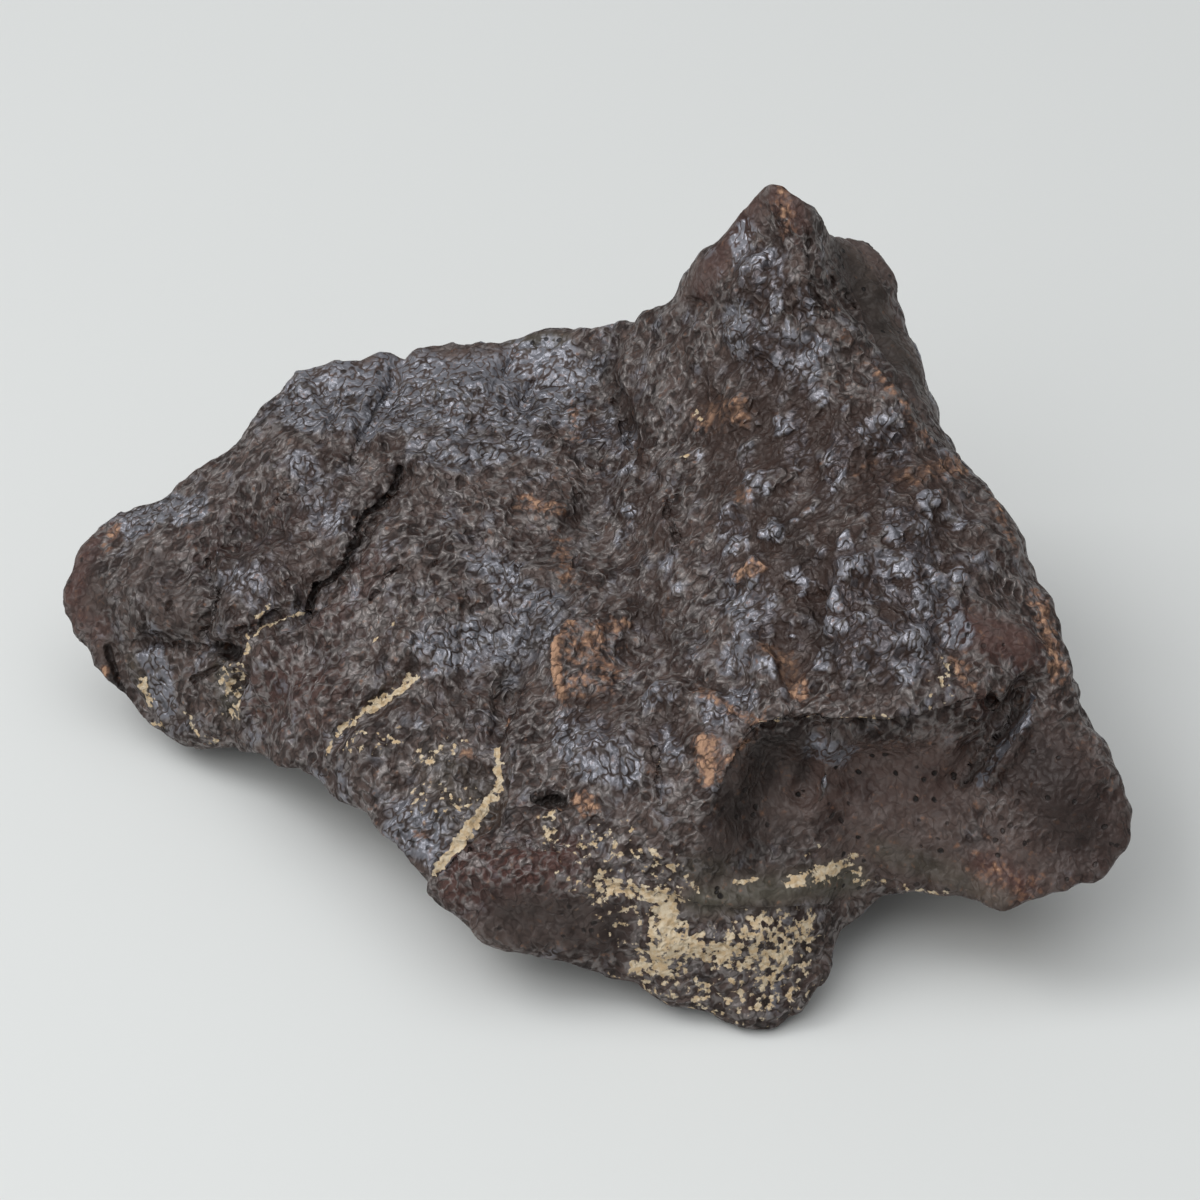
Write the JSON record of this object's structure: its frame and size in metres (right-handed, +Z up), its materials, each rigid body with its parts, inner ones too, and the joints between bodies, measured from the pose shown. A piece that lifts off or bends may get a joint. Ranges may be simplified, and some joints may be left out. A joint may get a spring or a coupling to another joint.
{
  "type": "chondrite meteorite",
  "caption": "Weathered chondrite meteorite: a cracked, pitted stone with a blunt horn, a deep bite in its front and a flake scar, at rest on worn spots.",
  "frame": {"origin": "below the middle of the stone's bounding box, on the table that it rests on", "axes": "+X along the stone's longest extent, from the left lobe to the right lobe; +Y from the front with the bite towards the hidden back; +Z up"},
  "size_m": [0.0808, 0.0592, 0.0415],
  "materials": {
    "stone": "dark brown weathered crust with a soft desert polish, rust-orange patches and pale tan caliche in its cracks and low places"
  },
  "bodies": {
    "root": {"stone": "stone"}
  },
  "joints": []
}
